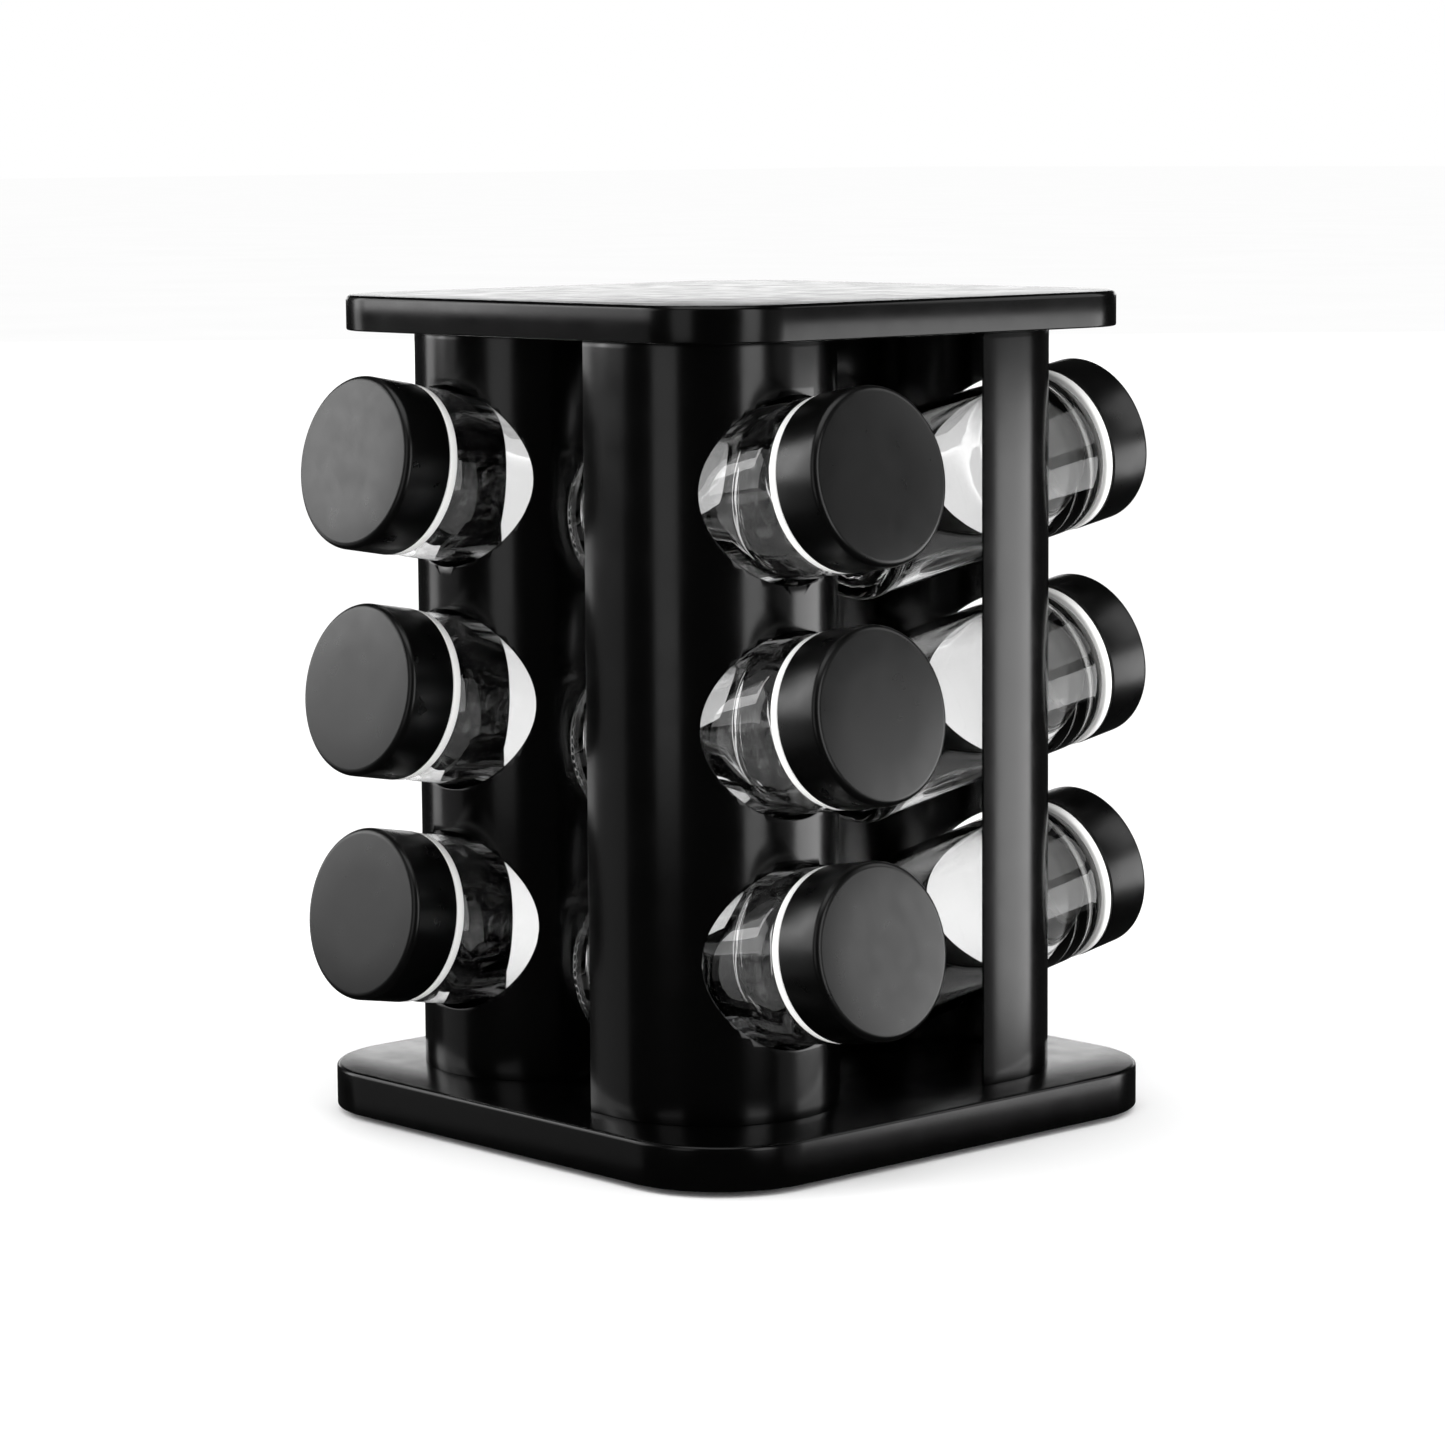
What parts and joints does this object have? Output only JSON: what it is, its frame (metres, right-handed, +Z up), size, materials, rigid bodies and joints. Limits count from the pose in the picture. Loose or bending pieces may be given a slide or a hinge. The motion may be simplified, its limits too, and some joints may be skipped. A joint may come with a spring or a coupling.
{
  "type": "spice carousel",
  "caption": "Square revolving countertop stand with tilted glass spice jars held in round holes of bent black steel columns.",
  "frame": {"origin": "on the floor under the middle of the base", "axes": "+Z up, the turntable's axis; +X points the way the nose of column_front faces"},
  "size_m": [0.212, 0.212, 0.2316],
  "materials": {
    "gloss_black_plastic": "polished moulded plastic",
    "matte_black_plastic": "moulded",
    "foot_plastic": "moulded",
    "cage_plastic": "moulded natural nylon",
    "black_steel": "glossy black baked enamel",
    "steel": "zinc plated",
    "rubber": "soft",
    "clear_glass": "clear pressed glass",
    "white_plastic": "smooth",
    "cap_plastic": "fine texture on top, smooth skirt"
  },
  "bodies": {
    "foot": {"foot_disc": "foot_plastic", "rubber_feet": "rubber", "pivot_bolt": "steel", "pivot_washer": "steel", "pivot_nut": "steel"},
    "bearing": {"ball_cage": "cage_plastic", "bearing_balls": "steel"},
    "carousel": {"base_shell": "gloss_black_plastic", "top_deck": "matte_black_plastic", "top_cover": "gloss_black_plastic", "cover_screws": "steel", "column_front": "black_steel", "column_right": "black_steel", "column_back": "black_steel", "column_left": "black_steel"},
    "jar_front_bottom": {"jar_glass_front_bottom": "clear_glass", "jar_insert_front_bottom": "white_plastic"},
    "cap_front_bottom": {"jar_cap_front_bottom": "cap_plastic"},
    "jar_front_middle": {"jar_glass_front_middle": "clear_glass", "jar_insert_front_middle": "white_plastic"},
    "cap_front_middle": {"jar_cap_front_middle": "cap_plastic"},
    "jar_front_top": {"jar_glass_front_top": "clear_glass", "jar_insert_front_top": "white_plastic"},
    "cap_front_top": {"jar_cap_front_top": "cap_plastic"},
    "jar_right_bottom": {"jar_glass_right_bottom": "clear_glass", "jar_insert_right_bottom": "white_plastic"},
    "cap_right_bottom": {"jar_cap_right_bottom": "cap_plastic"},
    "jar_right_middle": {"jar_glass_right_middle": "clear_glass", "jar_insert_right_middle": "white_plastic"},
    "cap_right_middle": {"jar_cap_right_middle": "cap_plastic"},
    "jar_right_top": {"jar_glass_right_top": "clear_glass", "jar_insert_right_top": "white_plastic"},
    "cap_right_top": {"jar_cap_right_top": "cap_plastic"},
    "jar_back_bottom": {"jar_glass_back_bottom": "clear_glass", "jar_insert_back_bottom": "white_plastic"},
    "cap_back_bottom": {"jar_cap_back_bottom": "cap_plastic"},
    "jar_back_middle": {"jar_glass_back_middle": "clear_glass", "jar_insert_back_middle": "white_plastic"},
    "cap_back_middle": {"jar_cap_back_middle": "cap_plastic"},
    "jar_back_top": {"jar_glass_back_top": "clear_glass", "jar_insert_back_top": "white_plastic"},
    "cap_back_top": {"jar_cap_back_top": "cap_plastic"},
    "jar_left_bottom": {"jar_glass_left_bottom": "clear_glass", "jar_insert_left_bottom": "white_plastic"},
    "cap_left_bottom": {"jar_cap_left_bottom": "cap_plastic"},
    "jar_left_middle": {"jar_glass_left_middle": "clear_glass", "jar_insert_left_middle": "white_plastic"},
    "cap_left_middle": {"jar_cap_left_middle": "cap_plastic"},
    "jar_left_top": {"jar_glass_left_top": "clear_glass", "jar_insert_left_top": "white_plastic"},
    "cap_left_top": {"jar_cap_left_top": "cap_plastic"}
  },
  "joints": [
    {"name": "carousel_spin", "type": "hinge", "parent": "foot", "child": "carousel", "pos_m": [0, 0, 0.0116], "axis": [0, 0, 1], "continuous": true},
    {"name": "bearing_spin", "type": "hinge", "parent": "foot", "child": "bearing", "pos_m": [0, 0, 0.0065], "axis": [0, 0, 1], "continuous": true},
    {"name": "jar_slide_front_bottom", "type": "slide", "parent": "carousel", "child": "jar_front_bottom", "axis": [0.9848, 0, 0.1736], "range_m": [0, 0.09]},
    {"name": "cap_turn_front_bottom", "type": "hinge", "parent": "jar_front_bottom", "child": "cap_front_bottom", "pos_m": [0.0704, -0.0409, 0.0576], "axis": [0.9848, 0, 0.1736], "range_deg": [0, 450]},
    {"name": "jar_slide_front_middle", "type": "slide", "parent": "carousel", "child": "jar_front_middle", "axis": [0.9848, 0, 0.1736], "range_m": [0, 0.09]},
    {"name": "cap_turn_front_middle", "type": "hinge", "parent": "jar_front_middle", "child": "cap_front_middle", "pos_m": [0.0704, -0.0409, 0.1198], "axis": [0.9848, 0, 0.1736], "range_deg": [0, 450]},
    {"name": "jar_slide_front_top", "type": "slide", "parent": "carousel", "child": "jar_front_top", "axis": [0.9848, 0, 0.1736], "range_m": [0, 0.09]},
    {"name": "cap_turn_front_top", "type": "hinge", "parent": "jar_front_top", "child": "cap_front_top", "pos_m": [0.0704, -0.0409, 0.182], "axis": [0.9848, 0, 0.1736], "range_deg": [0, 450]},
    {"name": "jar_slide_right_bottom", "type": "slide", "parent": "carousel", "child": "jar_right_bottom", "axis": [0, 0.9848, 0.1736], "range_m": [0, 0.09]},
    {"name": "cap_turn_right_bottom", "type": "hinge", "parent": "jar_right_bottom", "child": "cap_right_bottom", "pos_m": [0.0409, 0.0704, 0.0576], "axis": [0, 0.9848, 0.1736], "range_deg": [0, 450]},
    {"name": "jar_slide_right_middle", "type": "slide", "parent": "carousel", "child": "jar_right_middle", "axis": [0, 0.9848, 0.1736], "range_m": [0, 0.09]},
    {"name": "cap_turn_right_middle", "type": "hinge", "parent": "jar_right_middle", "child": "cap_right_middle", "pos_m": [0.0409, 0.0704, 0.1198], "axis": [0, 0.9848, 0.1736], "range_deg": [0, 450]},
    {"name": "jar_slide_right_top", "type": "slide", "parent": "carousel", "child": "jar_right_top", "axis": [0, 0.9848, 0.1736], "range_m": [0, 0.09]},
    {"name": "cap_turn_right_top", "type": "hinge", "parent": "jar_right_top", "child": "cap_right_top", "pos_m": [0.0409, 0.0704, 0.182], "axis": [0, 0.9848, 0.1736], "range_deg": [0, 450]},
    {"name": "jar_slide_back_bottom", "type": "slide", "parent": "carousel", "child": "jar_back_bottom", "axis": [-0.9848, 0, 0.1736], "range_m": [0, 0.09]},
    {"name": "cap_turn_back_bottom", "type": "hinge", "parent": "jar_back_bottom", "child": "cap_back_bottom", "pos_m": [-0.0704, 0.0409, 0.0576], "axis": [-0.9848, 0, 0.1736], "range_deg": [0, 450]},
    {"name": "jar_slide_back_middle", "type": "slide", "parent": "carousel", "child": "jar_back_middle", "axis": [-0.9848, 0, 0.1736], "range_m": [0, 0.09]},
    {"name": "cap_turn_back_middle", "type": "hinge", "parent": "jar_back_middle", "child": "cap_back_middle", "pos_m": [-0.0704, 0.0409, 0.1198], "axis": [-0.9848, 0, 0.1736], "range_deg": [0, 450]},
    {"name": "jar_slide_back_top", "type": "slide", "parent": "carousel", "child": "jar_back_top", "axis": [-0.9848, 0, 0.1736], "range_m": [0, 0.09]},
    {"name": "cap_turn_back_top", "type": "hinge", "parent": "jar_back_top", "child": "cap_back_top", "pos_m": [-0.0704, 0.0409, 0.182], "axis": [-0.9848, 0, 0.1736], "range_deg": [0, 450]},
    {"name": "jar_slide_left_bottom", "type": "slide", "parent": "carousel", "child": "jar_left_bottom", "axis": [0, -0.9848, 0.1736], "range_m": [0, 0.09]},
    {"name": "cap_turn_left_bottom", "type": "hinge", "parent": "jar_left_bottom", "child": "cap_left_bottom", "pos_m": [-0.0409, -0.0704, 0.0576], "axis": [0, -0.9848, 0.1736], "range_deg": [0, 450]},
    {"name": "jar_slide_left_middle", "type": "slide", "parent": "carousel", "child": "jar_left_middle", "axis": [0, -0.9848, 0.1736], "range_m": [0, 0.09]},
    {"name": "cap_turn_left_middle", "type": "hinge", "parent": "jar_left_middle", "child": "cap_left_middle", "pos_m": [-0.0409, -0.0704, 0.1198], "axis": [0, -0.9848, 0.1736], "range_deg": [0, 450]},
    {"name": "jar_slide_left_top", "type": "slide", "parent": "carousel", "child": "jar_left_top", "axis": [0, -0.9848, 0.1736], "range_m": [0, 0.09]},
    {"name": "cap_turn_left_top", "type": "hinge", "parent": "jar_left_top", "child": "cap_left_top", "pos_m": [-0.0409, -0.0704, 0.182], "axis": [0, -0.9848, 0.1736], "range_deg": [0, 450]}
  ],
  "couplings": [
    {"joint": "bearing_spin", "follows": "carousel_spin", "ratio": 0.5}
  ]
}
